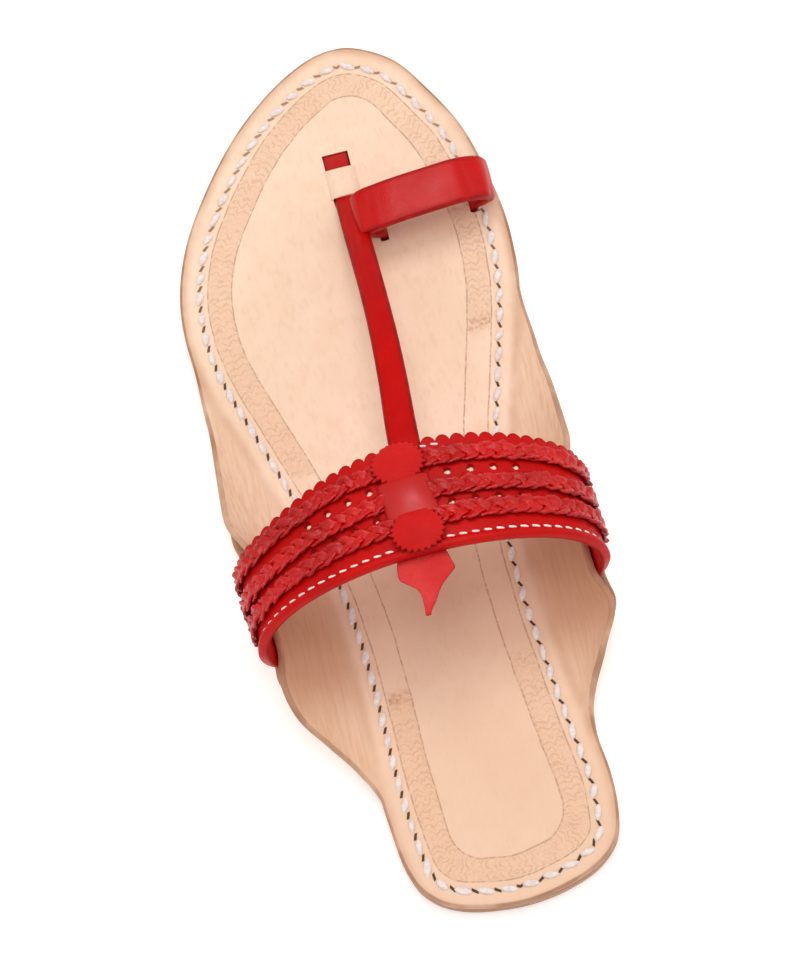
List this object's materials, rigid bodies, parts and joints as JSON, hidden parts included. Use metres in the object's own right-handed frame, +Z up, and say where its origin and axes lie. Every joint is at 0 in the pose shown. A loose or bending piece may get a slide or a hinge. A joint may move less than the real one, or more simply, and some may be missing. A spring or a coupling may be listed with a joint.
{
  "type": "toe-loop leather sandal",
  "caption": "Flat leather slide sandal for the left foot: tan stitched sole with curled ears, red plaited instep band, centre strap and big-toe loop.",
  "frame": {"origin": "on the floor, under the middle of the sandal's box", "axes": "+X to the inner, big-toe side, +Y to the toe, +Z up"},
  "size_m": [0.1016, 0.254, 0.0625],
  "materials": {
    "sole_leather": "firm sole leather with a burnished edge",
    "tan_leather": "smooth natural tan leather, satin",
    "red_leather": "smooth dyed leather, semi-gloss",
    "red_plait": "plaited dyed leather thongs, satin",
    "red_disc": "pinked dyed leather, matt"
  },
  "bodies": {
    "root": {"outsole": "sole_leather", "insole": "tan_leather", "ear_lateral": "tan_leather", "ear_medial": "tan_leather", "upper": "red_leather", "braid_front": "red_plait", "braid_middle": "red_plait", "braid_rear": "red_plait", "centre_roll": "red_leather", "medallion_front": "red_disc", "medallion_rear": "red_disc", "leaf_tail": "red_disc"}
  },
  "joints": []
}
